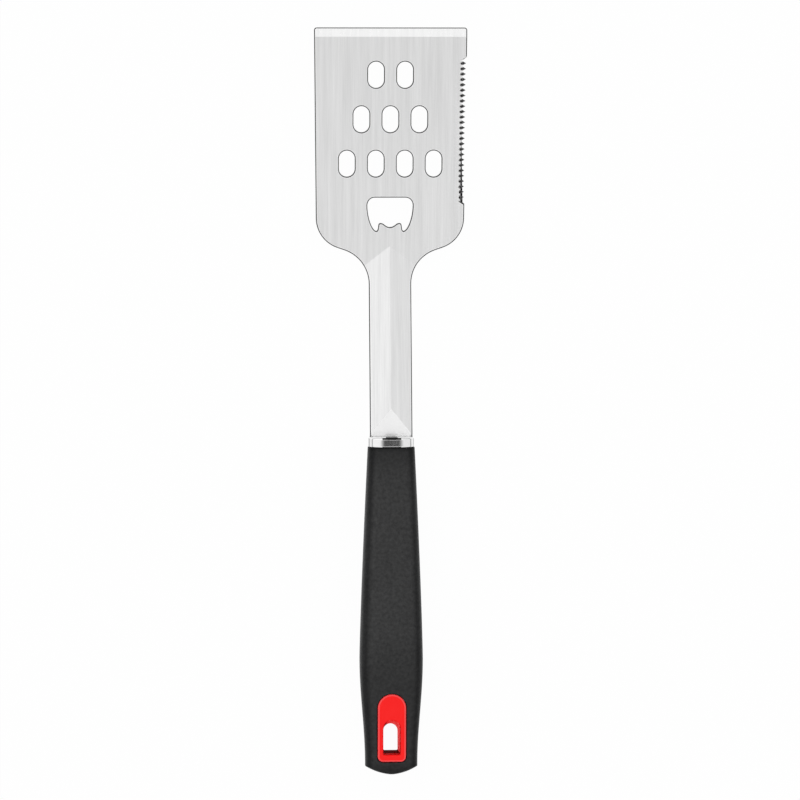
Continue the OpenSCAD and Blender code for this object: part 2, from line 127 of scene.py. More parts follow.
# ---- edges sharper than this, in degrees, stay crisp ---------------------------------
SHELL_CREASE = 32
TAB_CREASE = 30
EYELET_CREASE = 28
FOLD_CREASE = 4.5          # folds of the blade's sheet
PUNCHED_CREASE = 38.0      # its other edges


def grip_frame():
    """Matrix from the grip's own frame, in millimetres, to the row frame in metres."""
    points = np.array([v.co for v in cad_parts["handle_core"].data.vertices])
    front = points[points[:, 1] > points[:, 1].max() - END_NEAR * MM]
    back = points[points[:, 1] < points[:, 1].min() + END_NEAR * MM]
    middle = [Vector((p.min(0) + p.max(0)) / 2) for p in (front, back)]
    axis = middle[0] - middle[1]
    tilt = Matrix.Rotation(math.atan2(axis.z, axis.y), 4, "X")
    mouth = middle[0] - axis.normalized() * NOSE_LEN * MM
    return Matrix.Translation(mouth) @ tilt @ Matrix.Scale(MM, 4)


GRIP = grip_frame()


# ---- small tools ---------------------------------------------------------------------

def new_object(name, mesh):
    piece = bpy.data.objects.new(name, mesh)
    bpy.context.scene.collection.objects.link(piece)
    return piece


def from_bmesh(name, bm):
    mesh = bpy.data.meshes.new(name)
    bm.to_mesh(mesh)
    bm.free()
    return new_object(name, mesh)


def shade(piece, degrees):
    """Smooth shading, with the edges sharper than this angle kept crisp."""
    piece.data.shade_smooth()
    piece.data.set_sharp_from_angle(angle=math.radians(degrees))


def weigh_normals(piece):
    """Keeps broad flat faces flat where they meet narrow rounded ones."""
    modifier = piece.modifiers.new("normals", "WEIGHTED_NORMAL")
    modifier.keep_sharp = True
    modifier.weight = 100
    bpy.context.view_layer.update()
    evaluated = piece.evaluated_get(bpy.context.evaluated_depsgraph_get())
    mesh = bpy.data.meshes.new_from_object(evaluated)
    piece.modifiers.clear()
    piece.data = mesh


def skin(bm, rings, cyclic=False, caps=True):
    """Quads between successive rings of equally many points."""
    loops = [[bm.verts.new(p) for p in ring] for ring in rings]
    pairs = list(zip(loops, loops[1:]))
    if cyclic:
        pairs.append((loops[-1], loops[0]))
    for a, b in pairs:
        for i in range(len(a)):
            j = (i + 1) % len(a)
            bm.faces.new((a[i], a[j], b[j], b[i]))
    if caps and not cyclic:
        bm.faces.new(loops[0])
        bm.faces.new(loops[-1])
    bmesh.ops.recalc_face_normals(bm, faces=bm.faces)


def lofted(name, rings, cyclic=False):
    bm = bmesh.new()
    skin(bm, rings, cyclic)
    bm.transform(GRIP)
    return from_bmesh(name, bm)


def cut(piece, cutter):
    """Takes the cutter's volume off the piece, and removes the cutter."""
    modifier = piece.modifiers.new("cut", "BOOLEAN")
    modifier.operation = "DIFFERENCE"
    modifier.solver = "EXACT"
    modifier.object = cutter
    bpy.context.view_layer.update()
    evaluated = piece.evaluated_get(bpy.context.evaluated_depsgraph_get())
    mesh = bpy.data.meshes.new_from_object(evaluated)
    piece.modifiers.clear()
    piece.data = mesh
    bpy.data.objects.remove(cutter)
    return piece


def block(name, low, high):
    (x0, y0, z0), (x1, y1, z1) = low, high
    rings = [[(x0, y0, z), (x1, y0, z), (x1, y1, z), (x0, y1, z)] for z in (z0, z1)]
    return lofted(name, rings)


def finish_piece(piece, materials, *nodes, slot):
    for material in materials:
        piece.data.materials.append(material)
    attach(piece, "root")
    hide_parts(*nodes)


# ---- materials -----------------------------------------------------------------------

# Features per metre along x, y and z
STROKES = (2600, 55, 55)
BEVEL_STROKES = (1500, 120, 120)
BANDS = (430, 14, 14)
SPECKS = (1800, 1800, 1800)
HAZE = (300, 300, 300)
CLOUDS = (60, 60, 60)
MOTTLE = (520, 520, 520)
PAPER = (400, 400, 400)
BAND_SHARE = 0.55          # of the broad bands in the steel's colour
MOTTLE_RANGE = (0.72, 1.28)        # of the grip's sheen
EDGE_RANGE = (0.85, 1.15)          # of the speckled metal's colour
STEEL_HAZE = 0.04          # roughness varies by this to both sides
EDGE_HAZE = 0.05
PLASTIC_HAZE = 0.07
STROKE_RELIEF = 0.02       # heights of the bumps, millimetres
SPECK_RELIEF = 0.03
PLASTIC_RELIEF = 0.1
WALL_GLOW = ((1.0, 0.035, 0.035, 1), 0.3)   # painted light: a glow on the hole's red wall


def base_material(name):
    material = bpy.data.materials.new(name)
    material.use_nodes = True
    nodes = material.node_tree.nodes
    return material, nodes, material.node_tree.links, nodes["Principled BSDF"]


def grain(nodes, links, scale, detail=4.0, roughness=0.6):
    """Noise in object space; scale is in features per metre along x, y and z."""
    place = nodes.new("ShaderNodeTexCoord")
    mapping = nodes.new("ShaderNodeMapping")
    mapping.inputs["Scale"].default_value = scale
    noise = nodes.new("ShaderNodeTexNoise")
    noise.inputs["Scale"].default_value = 1.0
    noise.inputs["Detail"].default_value = detail
    noise.inputs["Roughness"].default_value = roughness
    links.new(place.outputs["Object"], mapping.inputs["Vector"])
    links.new(mapping.outputs["Vector"], noise.inputs["Vector"])
    return noise.outputs["Fac"]


def math_node(nodes, links, operation, *values):
    """A Math node; each value is a number or the socket that feeds it."""
    node = nodes.new("ShaderNodeMath")
    node.operation = operation
    for socket, value in zip(node.inputs, values):
        if isinstance(value, (int, float)):
            socket.default_value = value
        else:
            links.new(value, socket)
    return node.outputs[0]


def map_range(nodes, links, value, low, high, to=(0.0, 1.0), curve="LINEAR"):
    """Maps low..high to the range given by to, with the ends clamped."""
    node = nodes.new("ShaderNodeMapRange")
    node.interpolation_type = curve
    for name, number in zip(("From Min", "From Max", "To Min", "To Max"), (low, high, *to)):
        node.inputs[name].default_value = number
    links.new(value, node.inputs["Value"])
    return node.outputs["Result"]


def ramp(nodes, links, value, low, high, stops=(0.3, 0.7)):
    node = nodes.new("ShaderNodeValToRGB")
    for element, place, colour in zip(node.color_ramp.elements, stops, (low, high)):
        element.position = place
        rgb = colour if isinstance(colour, tuple) else (colour,) * 3
        element.color = (*rgb, 1)
    links.new(value, node.inputs["Fac"])
    return node.outputs["Color"]


def bump(nodes, links, shader, height, strength, distance):
    node = nodes.new("ShaderNodeBump")
    node.inputs["Strength"].default_value = strength
    node.inputs["Distance"].default_value = distance
    links.new(height, node.inputs["Height"])
    links.new(node.outputs["Normal"], shader.inputs["Normal"])


def brushed_steel(name, dark, light, rough, strokes=STROKES, depth=0.12):
    """Steel with fine strokes along y, and broader bands of them."""
    material, nodes, links, shader = base_material(name)
    shader.inputs["Metallic"].default_value = 1.0
    fine = grain(nodes, links, strokes, 3.0, 0.65)
    broad = grain(nodes, links, BANDS, 2.0, 0.5)
    part = math_node(nodes, links, "MULTIPLY", fine, 1 - BAND_SHARE)
    mix = math_node(nodes, links, "MULTIPLY_ADD", broad, BAND_SHARE, part)
    links.new(ramp(nodes, links, mix, dark, light), shader.inputs["Base Color"])
    links.new(ramp(nodes, links, fine, rough + STEEL_HAZE, rough - STEEL_HAZE),
              shader.inputs["Roughness"])
    bump(nodes, links, shader, fine, depth, STROKE_RELIEF * MM)
    return material


def speckled_metal(name, colour, rough):
    """Speckled metal, duller than the sheet's faces as sheared edges are; its dark copies are
    painted shade on the punched edges and teeth and painted reflection on the collar.
    """
    material, nodes, links, shader = base_material(name)
    shader.inputs["Metallic"].default_value = 1.0
    speck = grain(nodes, links, SPECKS, 3.0)
    links.new(ramp(nodes, links, speck, *(colour * share for share in EDGE_RANGE)),
              shader.inputs["Base Color"])
    links.new(ramp(nodes, links, speck, rough + EDGE_HAZE, rough - EDGE_HAZE),
              shader.inputs["Roughness"])
    bump(nodes, links, shader, speck, 0.15, SPECK_RELIEF * MM)
    return material


def chrome():
    """Plating, polished but not quite even."""
    material, nodes, links, shader = base_material("ferrule_chrome")
    shader.inputs["Metallic"].default_value = 1.0
    haze = grain(nodes, links, HAZE, 4.0)
    links.new(ramp(nodes, links, haze, 0.84, 0.90), shader.inputs["Base Color"])
    links.new(ramp(nodes, links, haze, 0.10, 0.06), shader.inputs["Roughness"])
    return material


def moulded(name, low, high, rough, grain_size, depth, level=0.5, sheen_painted=False):
    """Moulded plastic with a spark-eroded grain; if asked, its sheen is scaled by the painted
    sheen and shade stored on the mesh.
    """
    material, nodes, links, shader = base_material(name)
    fine = grain(nodes, links, (1 / grain_size,) * 3, 5.0, 0.7)
    cloud = grain(nodes, links, CLOUDS, 2.0)
    if sheen_painted:
        mottle = map_range(nodes, links, grain(nodes, links, MOTTLE, 3.0, 0.6), 0.3, 0.7,
                           to=tuple(level * share for share in MOTTLE_RANGE))
        painted_sheen = nodes.new("ShaderNodeAttribute")
        painted_sheen.attribute_name = "painted_sheen"
        sheen = math_node(nodes, links, "MULTIPLY", mottle, painted_sheen.outputs["Fac"])
        links.new(sheen, shader.inputs["Specular IOR Level"])
    links.new(ramp(nodes, links, cloud, low, high), shader.inputs["Base Color"])
    links.new(ramp(nodes, links, fine, rough + PLASTIC_HAZE, rough - PLASTIC_HAZE),
              shader.inputs["Roughness"])
    shader.inputs["Specular IOR Level"].default_value = level
    bump(nodes, links, shader, fine, depth, PLASTIC_RELIEF * MM)
    return material


STEEL = brushed_steel("blade_steel", 0.72, 0.865, rough=0.34)
# Painted highlight: lighter steel on the tang's flat triangle, above the collar.
TANG_HIGHLIGHT_STEEL = brushed_steel("tang_painted_highlight", 0.97, 1.0, rough=0.36)
BEVEL_STEEL = brushed_steel("bevel_steel", 0.84, 0.92, rough=0.30, strokes=BEVEL_STROKES)
# Painted highlight: a lighter ring of steel just inside the punched edges and on leaning faces.
MARGIN_HIGHLIGHT_STEEL = brushed_steel("margin_painted_highlight", 0.88, 0.94, rough=0.34)
# Painted shade: nearly black steel on the rounded punched edges.
EDGE_SHADE_STEEL = speckled_metal("speckled_metal", 0.06, rough=0.40)
# Painted shade: nearly black steel on the teeth.
TOOTH_SHADE_STEEL = speckled_metal("tooth_painted_shade", 0.025, rough=0.40)
CHROME = chrome()
# Painted reflection: darker plating on the collar's front wall, rims and flanks.
SHADED_CHROME = speckled_metal("shaded_chrome", 0.02, rough=0.35)
DIM_REFLECTION_CHROME = speckled_metal("dim_painted_reflection", 0.10, rough=0.30)
FLANK_REFLECTION_CHROME = speckled_metal("flank_painted_reflection", 0.50, rough=0.25)
# The grip's sheen is painted: it drops to painted shade along the shoulders and at both ends.
GRIP_BLACK = moulded("grip_black", (0.0070, 0.0072, 0.0075), (0.0110, 0.0112, 0.0116),
                     rough=0.50, grain_size=0.0006, depth=0.35, level=0.50, sheen_painted=True)
# Painted shade: darker plastic on the walls of the pocket round the eyelet.
GRIP_GAP_SHADE = moulded("grip_gap_painted_shade", (0.003, 0.003, 0.003), (0.004, 0.004, 0.004),
                    rough=0.60, grain_size=0.0006, depth=0.10, level=0.05)
EYELET_RED = moulded("eyelet_red", (0.97, 0.006, 0.006), (1.0, 0.010, 0.009),
                     rough=0.42, grain_size=0.0005, depth=0.10, level=0.20)
# Painted highlight: lighter, glossier red on the pad's rounded edge.
LIP_HIGHLIGHT_RED = moulded("lip_painted_highlight", (0.97, 0.050, 0.052), (1.0, 0.062, 0.064),
                  rough=0.35, grain_size=0.0005, depth=0.05, level=0.40)
# Painted light: a lighter red that glows, on the hole's wall.
GLOWING_WALL_RED = moulded("wall_painted_glow", (0.95, 0.045, 0.045), (1.0, 0.055, 0.055),
                   rough=0.60, grain_size=0.0005, depth=0.10, level=0.10)
for socket, value in zip(("Emission Color", "Emission Strength"), WALL_GLOW):
    GLOWING_WALL_RED.node_tree.nodes["Principled BSDF"].inputs[socket].default_value = value
# Painted shade: darker reds inside the hole.
BORE_HALF_SHADE_RED = moulded("bore_painted_shade", (0.50, 0.003, 0.003), (0.60, 0.004, 0.004),
                   rough=0.70, grain_size=0.0005, depth=0.10, level=0.03)
BORE_SHADE = moulded("bore_shade", (0.10, 0.001, 0.001), (0.14, 0.001, 0.001),
                     rough=0.80, grain_size=0.0005, depth=0.10, level=0.02)
CORE_PLASTIC = moulded("core_plastic", (0.012, 0.012, 0.013), (0.016, 0.016, 0.017),
                       rough=0.50, grain_size=0.0008, depth=0.2)
RIVET_STEEL = speckled_metal("rivet_steel", 0.50, rough=0.35)


# ---- the blade -----------------------------------------------------------------------

STEELS = (STEEL, EDGE_SHADE_STEEL, BEVEL_STEEL, TOOTH_SHADE_STEEL, MARGIN_HIGHLIGHT_STEEL, TANG_HIGHLIGHT_STEEL)
PLAIN, EDGE_SHADE, BEVEL, TOOTH_SHADE, MARGIN_HIGHLIGHT, TANG_HIGHLIGHT = range(len(STEELS))
# Width, drop of the outer edge and material of each ring along the punched edges
EDGE_RINGS = ((0.26, 0.26, EDGE_SHADE), (0.26, 0.08, EDGE_SHADE), (0.03, 0.0, MARGIN_HIGHLIGHT), (0.3, 0.0, MARGIN_HIGHLIGHT))
WELD = 0.002               # points closer than this are one
MERGE = 0.4                # triangles that meet flatter than this become one face, degrees
FLAT_Z = 0.9               # faces whose normals are steeper than this are the sheet's faces
WALL_Z = 0.25              # and those below this are the punched walls
SERRATED_X = 30.0          # the serrated side lies beyond this
SERRATED_MARGIN = 2.0      # its faces end within this from its ends
TOOTH_ROOT = 0.55          # the painted shade on the teeth starts this far from the valleys
TOOTH_MIDDLE = 1.1         # and that of their ground flanks this far
MANY_SIDED = 8             # a face with more corners may reach the teeth from afar
BEVEL_FROM = 150.0         # the ground bevel at the tip lies beyond this, from the mouth,
BEVEL_LEAN = 2.0           # and leans forward by more degrees than this
TANG_TO = 30.0             # the tang's flat triangle ends before this
TANG_LEAN = 3.0            # and leans by less


def tooth_zone(face):
    """Whether a face belongs to the ground teeth: it leans, unlike the punched walls."""
    return (WALL_Z < abs(face.normal.z) < FLAT_Z
            and face.calc_center_median().x > SERRATED_X * MM)


def mark_teeth(bm):
    """Cuts the teeth across at two depths; returns a test for faces beyond a depth."""
    points = np.array([v.co for f in bm.faces if tooth_zone(f) for v in f.verts])
    low, high = points[:, 1].min(), points[:, 1].max()
    quarter = (high - low) / 4
    ends = [points[points[:, 1] > high - quarter], points[points[:, 1] < low + quarter]]
    top, bottom = (p[p[:, 0].argmax()] for p in ends)
    slope = (top[0] - bottom[0]) / (top[1] - bottom[1])
    valley = (points[:, 0] - slope * points[:, 1]).min()
    for depth in (TOOTH_ROOT, TOOTH_MIDDLE):
        near = [f for f in bm.faces
                if f.calc_center_median().x > 0 or len(f.verts) > MANY_SIDED]
        geometry = list({e for f in near for e in f.edges}) + near
        geometry += list({v for f in near for v in f.verts})
        bmesh.ops.bisect_plane(bm, geom=geometry, dist=1e-6, plane_no=(1, -slope, 0),
                               plane_co=(valley + depth * MM, 0, 0))

    def beyond(face, depth):
        margin = SERRATED_MARGIN * MM
        if not all(low - margin < v.co.y < high + margin for v in face.verts):
            return False
        centre = face.calc_center_median()
        return centre.x > valley + depth * MM + slope * centre.y
    return beyond


def lean(face):
    """How far an upper or lower face of the sheet leans forward, in degrees."""
    n = face.normal
    return math.degrees(math.atan2(n.y, abs(n.z)))


def soften(bm, up):
    """Rounds the punched edges of the sheet's upper (up = 1) or lower (up = -1) side."""
    bm.normal_update()
    flat = [f for f in bm.faces if f.normal.z * up > FLAT_Z]
    teeth = {v for f in bm.faces if tooth_zone(f) for v in f.verts}
    drops = {}
    for width, drop, material in EDGE_RINGS:
        region = set(flat)
        border = {v for f in flat for e in f.edges
                  if any(other not in region for other in e.link_faces) for v in e.verts}
        for v in border:
            drops[v] = 0.0 if v in teeth else drop
        made = bmesh.ops.inset_region(bm, faces=flat, thickness=width * MM,
                                      use_even_offset=True, use_boundary=True)["faces"]
        inner = set()
        for f in made:
            if all(v in teeth for v in f.verts if v in border):
                inner.update(v for v in f.verts if v not in border)
            else:
                f.material_index = material
        teeth |= inner
    for v, drop in drops.items():
        v.co.z -= up * drop * MM


def steel_of(face, beyond):
    """Material index for a face of the sheet, before its edges are rounded."""
    n, y = face.normal, face.calc_center_median().y - GRIP.translation.y
    if tooth_zone(face):
        return TOOTH_SHADE if beyond(face, TOOTH_MIDDLE) else BEVEL
    if beyond(face, TOOTH_ROOT):
        return TOOTH_SHADE
    if abs(n.z) <= FLAT_Z:
        return EDGE_SHADE if abs(n.z) < WALL_Z else MARGIN_HIGHLIGHT
    if n.z > 0 and lean(face) > BEVEL_LEAN and y > BEVEL_FROM * MM:
        return BEVEL
    return TANG_HIGHLIGHT if y < TANG_TO * MM and abs(lean(face)) < TANG_LEAN else PLAIN


def blade_piece():
    """The CAD sheet with rounded punched edges, its zones of grinding, and painted shade and
    highlights along its edges, teeth and tang.
    """
    bm = bmesh.new()
    bm.from_mesh(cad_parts["blade"].data)
    bmesh.ops.remove_doubles(bm, verts=bm.verts, dist=WELD * MM)
    bmesh.ops.dissolve_limit(bm, angle_limit=math.radians(MERGE), verts=bm.verts,
                             edges=bm.edges)
    bm.normal_update()
    beyond = mark_teeth(bm)
    for f in bm.faces:
        f.material_index = steel_of(f, beyond)
    soften(bm, 1)
    soften(bm, -1)
    bm.normal_update()
    for e in bm.edges:
        if len(e.link_faces) == 2:
            fold = all(abs(f.normal.z) > FLAT_Z for f in e.link_faces)
            limit = FOLD_CREASE if fold else PUNCHED_CREASE
            e.smooth = e.calc_face_angle(0.0) < math.radians(limit)
    for f in bm.faces:
        f.smooth = True
    piece = from_bmesh("blade_sheet", bm)
    weigh_normals(piece)
    finish_piece(piece, STEELS, "blade", slot="stainless")


# ---- the grip ------------------------------------------------------------------------

# Strength of the painted sheen, with painted shade where it drops, by how far the surface turns
# sideways and by distance from the mouth
SHOULDER_SIDE = (0.0, 0.30, 0.55, 0.80, 0.95)
SHOULDER_PAINTED_SHEEN = (1.0, 1.0, 0.40, 0.45, 0.75)
PAINTED_SHEEN_AT = (0.0, 2.0, 12.0, 25.0, 105.0, 132.0, 178.0, 184.0)
PAINTED_SHEENS = (0.25, 0.55, 0.85, 1.0, 1.0, 0.72, 0.72, 0.35)


def along(d, k):
    """Width, crown or belly (k = 0, 1, 2) at distance d from the mouth."""
    if d < SWELL_AT:
        left = 1 - max(d, 0) / SWELL_AT
        return SWELL[k] - (SWELL[k] - FRONT[k]) * left ** FLARE_POWER
    if d < HEEL_AT:
        turn = math.pi * (d - SWELL_AT) / (HEEL_AT - SWELL_AT)
        return BUTT[k] + (SWELL[k] - BUTT[k]) * (1 + math.cos(turn)) / 2
    return BUTT[k]


def grip_half(d):
    """Half the grip's width, with the butt's round corners."""
    inside = min(BUTT_ROUND, GRIP_LEN - d)
    round_half = math.sqrt(BUTT_ROUND ** 2 - (BUTT_ROUND - inside) ** 2)
    return min(along(d, 0) / 2, round_half)


def edge_share(d):
    """What the rounded edge of the butt leaves of the height."""
    inside = min(BUTT_EDGE, GRIP_LEN - d)
    rise = math.sqrt(BUTT_EDGE ** 2 - (BUTT_EDGE - inside) ** 2)
    return 1 - (BUTT_EDGE - rise) / BUTT[2]


def grip_height(d, up):
    return along(d, 1 if up > 0 else 2) * edge_share(d)


def half_section(d, up, steps=56):
    """Half of the grip's squared-oval section, from its right side over the crown."""
    lost = 0.0
    if d < MOUTH_ROUND:
        lost = MOUTH_ROUND - math.sqrt(MOUTH_ROUND ** 2 - (MOUTH_ROUND - d) ** 2)
    half, height = grip_half(d) - lost, grip_height(d, up) - lost - PARTING
    points = [(half - PARTING, 0.0)]
    for i in range(steps + 1):
        angle = math.pi * i / steps
        c, s = math.cos(angle), math.sin(angle)
        x = math.copysign(half * abs(c) ** (2 / GRIP_POWER), c)
        points.append((x, PARTING + height * abs(s) ** (2 / GRIP_POWER)))
    points.append((PARTING - half, 0.0))
    return [(x, -d, up * z) for x, z in points]


def quarter_turn(steps=ROUND_STEPS):
    """Angles from 0 to a right angle."""
    return [math.pi / 2 * i / steps for i in range(steps + 1)]


def grip_stations():
    """Distances from the mouth at which the grip's sections lie."""
    corner, last = GRIP_LEN - BUTT_CORNER, GRIP_LEN - BUTT_END
    mouth = [MOUTH_ROUND * (1 - math.cos(a)) for a in quarter_turn()]
    body = [MOUTH_ROUND + (corner - MOUTH_ROUND) * i / BODY_STEPS
            for i in range(1, BODY_STEPS + 1)]
    butt = [corner + (last - corner) * (1 - (1 - i / BUTT_STEPS) ** 2)
            for i in range(1, BUTT_STEPS + 1)]
    return mouth + body + butt


def arch(half, y0, y1, corner, z, steps=18):
    """Outline with an arched front end and a square back end with round corners."""
    def turn(cx, cy, r, a0, a1, count):
        return [(cx + r * math.cos(math.radians(a0 + (a1 - a0) * i / count)),
                 cy + r * math.sin(math.radians(a0 + (a1 - a0) * i / count)))
                for i in range(count + 1)]
    points = turn(0, y1 - half, half, 0, 180, 2 * steps)
    points += turn(corner - half, y0 + corner, corner, 180, 270, steps // 2)
    points += turn(half - corner, y0 + corner, corner, 270, 360, steps // 2)
    return [(x, y, z(y) if callable(z) else z) for x, y in points]


def paint_grip_sheen(piece):
    """Stores a painted sheen for each point: painted shade along the shoulders and at both
    ends.
    """
    to_grip = GRIP.inverted()
    turn = GRIP.to_3x3().normalized().inverted()
    mesh = piece.data
    values = np.ones(len(mesh.vertices))
    for i, v in enumerate(mesh.vertices):
        d = -(to_grip @ v.co).y
        side = abs((turn @ v.normal).x)
        shoulder = np.interp(side, SHOULDER_SIDE, SHOULDER_PAINTED_SHEEN)
        values[i] = shoulder * np.interp(d, PAINTED_SHEEN_AT, PAINTED_SHEENS)
    mesh.attributes.new("painted_sheen", "FLOAT", "POINT").data.foreach_set("value", values)


def shell(name, node, up):
    """The upper (up = 1) or lower (up = -1) half of the grip."""
    piece = lofted(name, [half_section(d, up) for d in grip_stations()])
    gap = EYELET_GAP if up > 0 else REAR_GAP
    pocket = [arch(EYELET_HALF + gap, EYELET_Y[0] - gap, EYELET_Y[1] + gap,
                   EYELET_CORNER + gap, z)
              for z in (-POCKET_Z[0] * up, POCKET_Z[1] * up)]
    cut(piece, lofted("pocket", pocket))
    half_w, half_h = CORE_SIZE[0] / 2, CORE_SIZE[1] / 2
    cut(piece, block("core_room", (-half_w, EYELET_Y[1] + CORE_ROOM[0], -half_h),
                     (half_w, CORE_ROOM[1], half_h)))
    shade(piece, SHELL_CREASE)
    paint_grip_sheen(piece)
    pocket_half = EYELET_HALF + EYELET_GAP + POCKET_EDGE[0]
    pocket_front = EYELET_Y[1] + POCKET_EDGE[1]
    to_grip, turn = GRIP.inverted(), GRIP.to_3x3().normalized().inverted()
    for face in piece.data.polygons:
        centre = to_grip @ face.center
        wall = abs((turn @ face.normal).z) < UPRIGHT_Z
        if wall and abs(centre.x) < pocket_half and centre.y < pocket_front:
            # painted shade on the pocket's walls
            face.material_index = 1
    finish_piece(piece, [GRIP_BLACK, GRIP_GAP_SHADE], node, slot="grip_black")


def tab_piece():
    """The moulding tab on the butt, with softened edges."""
    width, length, height = TAB
    bm = bmesh.new()
    rings = []
    for out, inset in ((TAB_ROOT, 0.0), *((length - short, i) for short, i in TAB_ROUND)):
        x, y = width / 2 - inset, -GRIP_LEN - out
        rings.append([(x, y, -PARTING - inset), (x, y, inset - height - PARTING),
                      (-x, y, inset - height - PARTING), (-x, y, -PARTING - inset)])
    skin(bm, rings)
    bm.transform(GRIP)
    piece = from_bmesh("butt_tab", bm)
    shade(piece, TAB_CREASE)
    paint_grip_sheen(piece)
    piece.data.materials.append(GRIP_BLACK)
    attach(piece, "root")


# ---- the eyelet ----------------------------------------------------------------------

def pad_plane(up):
    """Height of the pad's face, which follows the slope of the shell, at y."""
    back, front = EYELET_Y
    low, high = (grip_height(-y, up) + PAD_RISE for y in EYELET_Y)
    return lambda y: up * (low + (high - low) * (y - back) / (front - back))


REDS = (EYELET_RED, LIP_HIGHLIGHT_RED, GLOWING_WALL_RED, BORE_HALF_SHADE_RED, BORE_SHADE)
LIP_HIGHLIGHT, GLOWING_WALL, HALF_SHADED_BORE, SHADE = range(1, len(REDS))    # 0 is the pad
TURNED = 0.5               # a normal's part along an axis, above which a wall faces that way


def bore_material(normal, up):
    """Material index of the hole's wall: painted shade on the deep parts and the butt end, a
    painted glow on the rest.
    """
    if normal.y > TURNED:
        return HALF_SHADED_BORE if up > 0 else SHADE
    if abs(normal.x) > TURNED and (up > 0 or normal.x > 0):
        return HALF_SHADED_BORE
    return GLOWING_WALL


def eyelet(name, node, up):
    """The upper (up = 1) or lower (up = -1) half of the hang eyelet, a ring round the hole."""
    top = pad_plane(up)

    def outer(inset, below):
        return arch(EYELET_HALF - inset, EYELET_Y[0] + inset, EYELET_Y[1] - inset,
                    EYELET_CORNER - inset, lambda y: top(y) - up * below)

    def inner(grow, z, share):
        """Hole outline at a depth: share runs from 0 in front to 1 at the back pad."""
        half = HOLE_HALF - HOLE_DRAFT * share + grow
        return arch(half, HOLE_Y[0] - grow, HOLE_Y[1] - HOLE_RAKE * share + grow,
                    HOLE_CORNER + grow, z)

    rings = [arch(EYELET_HALF, EYELET_Y[0], EYELET_Y[1], EYELET_CORNER, EYELET_SEAM)]
    for a in quarter_turn():
        rings.append(outer(PAD_EDGE * (1 - math.cos(a)), PAD_EDGE * (1 - math.sin(a))))
    rings.append(outer(PAD_EDGE + PAD_LEDGE, 0))
    end = 0.0 if up > 0 else 1.0
    rings.append(inner(RIM_SLOPE + PAD_LEDGE, top, end))
    for a in quarter_turn():
        below = RIM_SLOPE * (1 - math.cos(a))
        rings.append(inner(RIM_SLOPE * (1 - math.sin(a)),
                           lambda y, below=below: top(y) - up * below, end))
    rings.append(inner(0, EYELET_SEAM + HOLE_SEAM * up, 0.0))
    rings.append(inner(HOLE_SEAM, EYELET_SEAM, 0.0))
    piece = lofted(name, rings, cyclic=True)
    count = len(rings[0])
    bore = len(rings) - 3      # the hole's wall and its bevel start at this ring
    for face in piece.data.polygons:
        ring = face.index // count
        if 1 <= ring <= ROUND_STEPS + 1:
            # painted highlight on the rounded lip
            face.material_index = LIP_HIGHLIGHT
        elif ring in (bore, bore + 1):
            face.material_index = bore_material(face.normal, up)
    shade(piece, EYELET_CREASE)
    finish_piece(piece, REDS, node, slot="eyelet_red")


# ---- the ferrule ---------------------------------------------------------------------

CHROMES = (CHROME, SHADED_CHROME, DIM_REFLECTION_CHROME, FLANK_REFLECTION_CHROME)
BRIGHT, SHADED, DIM_REFLECTION, FLANK_REFLECTION = range(len(CHROMES))
# Parts of the collar by their normals: front wall, rounded rims and flanks
WALL_Y, RIM_Y, FLANK_X = 0.82, 0.05, 0.9
RIM_SHADE = (2.0, 4.0)     # half width of the painted shade on the front rim, and its growth forward


def oval(half_w, half_h, y, steps=160):
    """Squared oval, the shape of the grip's sections."""
    points = []
    for i in range(steps):
        angle = 2 * math.pi * i / steps
        c, s = math.cos(angle), math.sin(angle)
        x = math.copysign(half_w * abs(c) ** (2 / GRIP_POWER), c)
        z = math.copysign(half_h * abs(s) ** (2 / GRIP_POWER), s)
        points.append((x, y, z))
    return points


def ferrule_material(normal, centre):
    """Material index: darker plating is painted reflection, standing for the dark reflections
    at the mouth, in the middle of the rims and on the flanks."""
    x = abs(centre.x)
    if normal.y > WALL_Y:
        return SHADED if abs(centre.z) < MOUTH_SHADE or x < MIDDLE_SHADE[0] else BRIGHT
    if abs(normal.y) > RIM_Y and x < MIDDLE_SHADE[1]:
        half = RIM_SHADE[0] + RIM_SHADE[1] * normal.y
        return SHADED if normal.y > 0 and x < half else DIM_REFLECTION
    return FLANK_REFLECTION if abs(normal.x) > FLANK_X else BRIGHT


